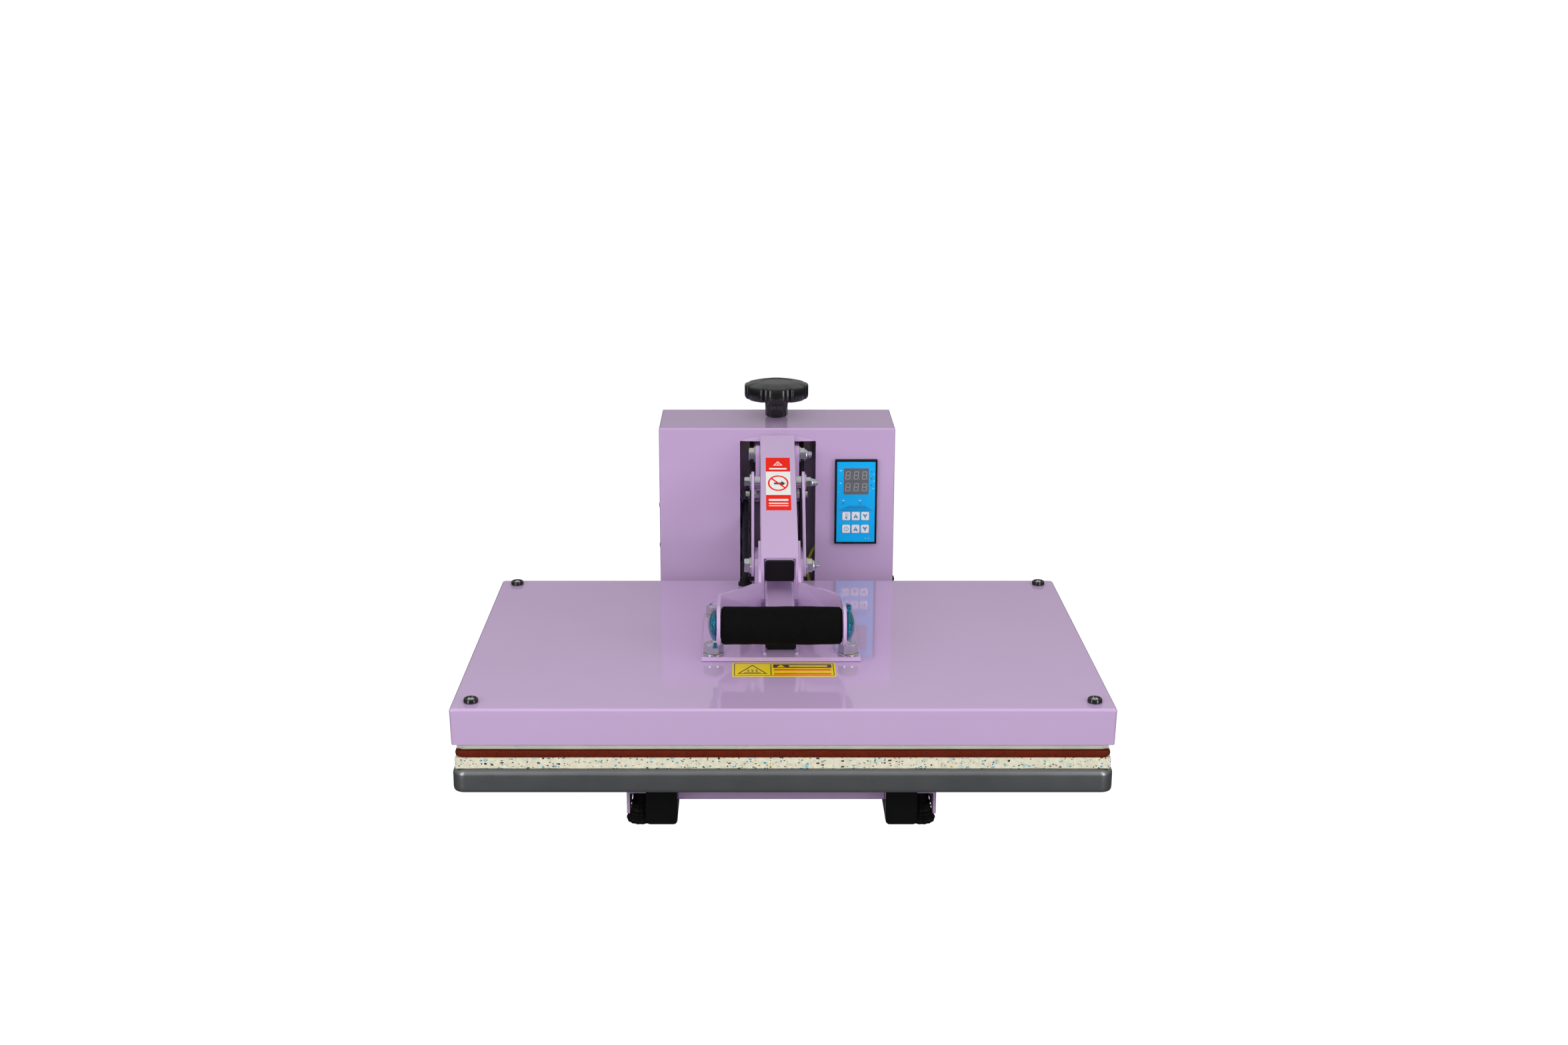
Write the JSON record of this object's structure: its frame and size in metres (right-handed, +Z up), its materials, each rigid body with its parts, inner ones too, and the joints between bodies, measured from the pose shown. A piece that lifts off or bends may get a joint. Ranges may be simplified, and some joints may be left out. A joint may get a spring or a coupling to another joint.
{
  "type": "clamshell heat press",
  "caption": "Clamshell heat press with a hinged heated platen, padded lower tray, toggle handle, pressure knob and a control box with a keypad.",
  "frame": {"origin": "on the bench, under the middle of the machine's width and depth", "axes": "+Z up, +X to the operator's right, -Y towards the operator"},
  "size_m": [0.61, 0.6, 0.351],
  "materials": {
    "lilac_paint": "glossy lilac powder coat",
    "black_plastic": "fine matt moulded plastic",
    "black_knob": "glossy bakelite-like plastic",
    "black_rubber": "matt rubber",
    "cast_aluminium": "silver painted casting",
    "foam_board": "speckled rebonded foam",
    "silicone_sponge": "porous red-brown silicone sponge",
    "ivory_film": "aluminium plate wrapped in ivory coated film",
    "zinc_plate": "bright zinc plate",
    "panel_blue": "printed membrane",
    "key_white": "satin white keys",
    "teal_dome": "teal protective film over a metal dome",
    "grip_foam": "soft black foam",
    "insulation": "mineral fibre board",
    "glass_sleeve": "braided glass-fibre sleeve"
  },
  "bodies": {
    "root": {"rail_left": "lilac_paint", "rail_right": "lilac_paint", "front_cross_tube": "lilac_paint", "deck_plate": "lilac_paint", "rail_plug_left": "black_plastic", "rail_plug_right": "black_plastic", "foot_bracket_left": "lilac_paint", "foot_bracket_right": "lilac_paint", "foot_front_left": "black_rubber", "foot_front_right": "black_rubber", "foot_rear_left": "black_rubber", "foot_rear_right": "black_rubber", "lower_tray": "cast_aluminium", "foam_pad": "foam_board", "silicone_pad": "silicone_sponge", "post_left": "lilac_paint", "post_right": "lilac_paint", "arm_pivot_shaft": "zinc_plate", "control_box": "lilac_paint", "box_back_cover": "lilac_paint", "controller_case": "black_plastic", "controller_face": "panel_blue", "power_inlet": "black_plastic", "solid_state_relay": "black_plastic", "screw_bush": "zinc_plate"},
    "arm": {"platen_cover": "lilac_paint", "heat_platen": "ivory_film", "insulation_board": "insulation", "mounting_plate": "lilac_paint", "arm_tube": "lilac_paint", "arm_tube_plug": "black_plastic", "platen_bolt_front_left": "zinc_plate", "platen_bolt_front_right": "zinc_plate", "platen_bolt_rear_left": "zinc_plate", "platen_bolt_rear_right": "zinc_plate", "arm_cheek_left": "lilac_paint", "arm_cheek_right": "lilac_paint", "heater_cable": "glass_sleeve"},
    "pressure_yoke": {"pressure_yoke": "lilac_paint", "handle_pivot_bolt": "zinc_plate"},
    "handle": {"handle_channel": "lilac_paint", "handle_tube": "lilac_paint", "handle_tube_plug": "black_plastic", "grip_tube": "lilac_paint", "foam_grip": "grip_foam", "grip_cap_left": "teal_dome", "grip_cap_right": "teal_dome", "link_bolt_rear": "zinc_plate"},
    "link": {"link_left": "lilac_paint", "link_right": "lilac_paint", "link_bolt_front": "zinc_plate"},
    "knob": {"pressure_knob": "black_knob", "pressure_screw": "zinc_plate"},
    "power_switch": {"power_switch": "black_plastic"},
    "temperature_set_key": {"temperature_set_key": "key_white"},
    "temperature_up_key": {"temperature_up_key": "key_white"},
    "temperature_down_key": {"temperature_down_key": "key_white"},
    "time_set_key": {"time_set_key": "key_white"},
    "time_up_key": {"time_up_key": "key_white"},
    "time_down_key": {"time_down_key": "key_white"}
  },
  "joints": [
    {"name": "arm_hinge", "type": "hinge", "parent": "root", "child": "arm", "pos_m": [0, 0.223, 0.225], "axis": [-1, 0, 0], "range_deg": [0, 43]},
    {"name": "yoke_slide", "type": "slide", "parent": "root", "child": "pressure_yoke", "axis": [0, 0, 1], "range_m": [-0.00099, 0.00099]},
    {"name": "handle_hinge", "type": "hinge", "parent": "pressure_yoke", "child": "handle", "pos_m": [0, 0.171, 0.2841], "axis": [-1, 0, 0], "range_deg": [0, 92.8]},
    {"name": "link_hinge", "type": "hinge", "parent": "handle", "child": "link", "pos_m": [0, 0.1005, 0.2693], "axis": [-1, 0, 0], "range_deg": [-57.5, 0]},
    {"name": "knob_turn", "type": "hinge", "parent": "pressure_yoke", "child": "knob", "pos_m": [0, 0.26, 0.331], "axis": [0, 0, 1], "range_deg": [-360, 360]},
    {"name": "power_switch_rock", "type": "hinge", "parent": "root", "child": "power_switch", "pos_m": [0.13, 0.235, 0.111], "axis": [0, -1, 0], "range_deg": [0, 14]},
    {"name": "temperature_set_key_press", "type": "slide", "parent": "root", "child": "temperature_set_key", "axis": [0, 1, 0], "range_m": [0, 0.0005], "stiffness_N_per_m": 400},
    {"name": "temperature_up_key_press", "type": "slide", "parent": "root", "child": "temperature_up_key", "axis": [0, 1, 0], "range_m": [0, 0.0005], "stiffness_N_per_m": 400},
    {"name": "temperature_down_key_press", "type": "slide", "parent": "root", "child": "temperature_down_key", "axis": [0, 1, 0], "range_m": [0, 0.0005], "stiffness_N_per_m": 400},
    {"name": "time_set_key_press", "type": "slide", "parent": "root", "child": "time_set_key", "axis": [0, 1, 0], "range_m": [0, 0.0005], "stiffness_N_per_m": 400},
    {"name": "time_up_key_press", "type": "slide", "parent": "root", "child": "time_up_key", "axis": [0, 1, 0], "range_m": [0, 0.0005], "stiffness_N_per_m": 400},
    {"name": "time_down_key_press", "type": "slide", "parent": "root", "child": "time_down_key", "axis": [0, 1, 0], "range_m": [0, 0.0005], "stiffness_N_per_m": 400}
  ],
  "couplings": [
    {"joint": "handle_hinge", "follows": "arm_hinge", "ratio": 2.156},
    {"joint": "link_hinge", "follows": "arm_hinge", "ratio": -1.335},
    {"joint": "knob_turn", "follows": "yoke_slide", "rad_per_m": 6283.2}
  ]
}
